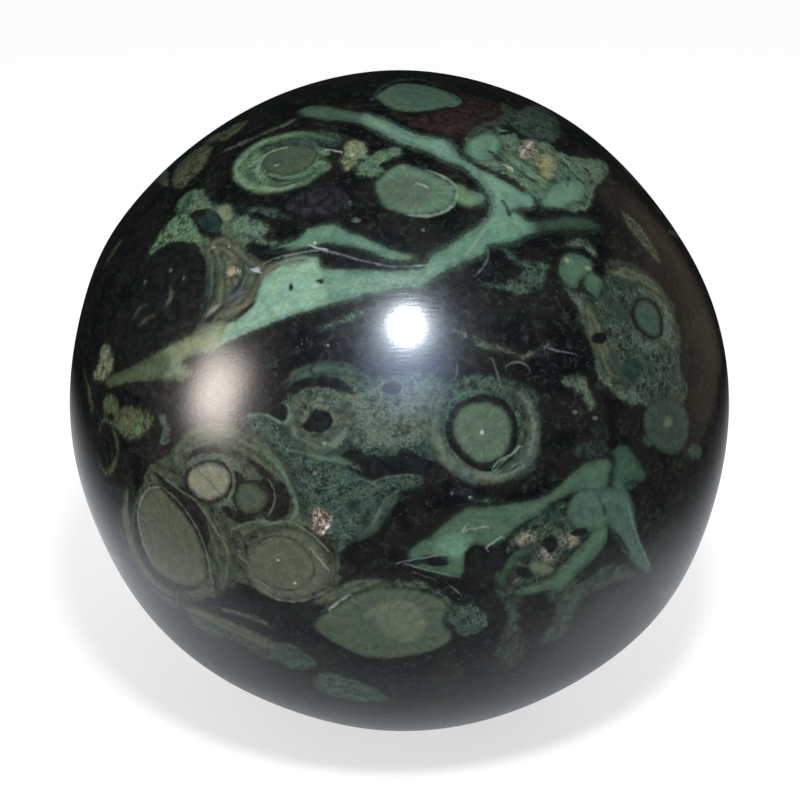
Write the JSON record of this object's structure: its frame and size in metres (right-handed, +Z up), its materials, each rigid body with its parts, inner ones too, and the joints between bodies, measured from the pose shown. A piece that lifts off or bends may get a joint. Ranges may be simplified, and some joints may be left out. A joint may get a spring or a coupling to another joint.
{
  "type": "kambaba jasper ball",
  "caption": "Polished ball of kambaba jasper: near-black green stone with pale green ringed orbs and mint bands, resting on a small level facet.",
  "frame": {"origin": "centre of the level facet that the ball rests on, under its middle", "axes": "+Z up through the ball's middle; -Y is the front, the side with the large mint-green band; +X is the front's right"},
  "size_m": [0.06, 0.06, 0.0599],
  "materials": {
    "polished_jasper": "polished, glossy, near-black green with pale green orbs and bands"
  },
  "bodies": {
    "root": {"jasper_ball": "polished_jasper"}
  },
  "joints": []
}
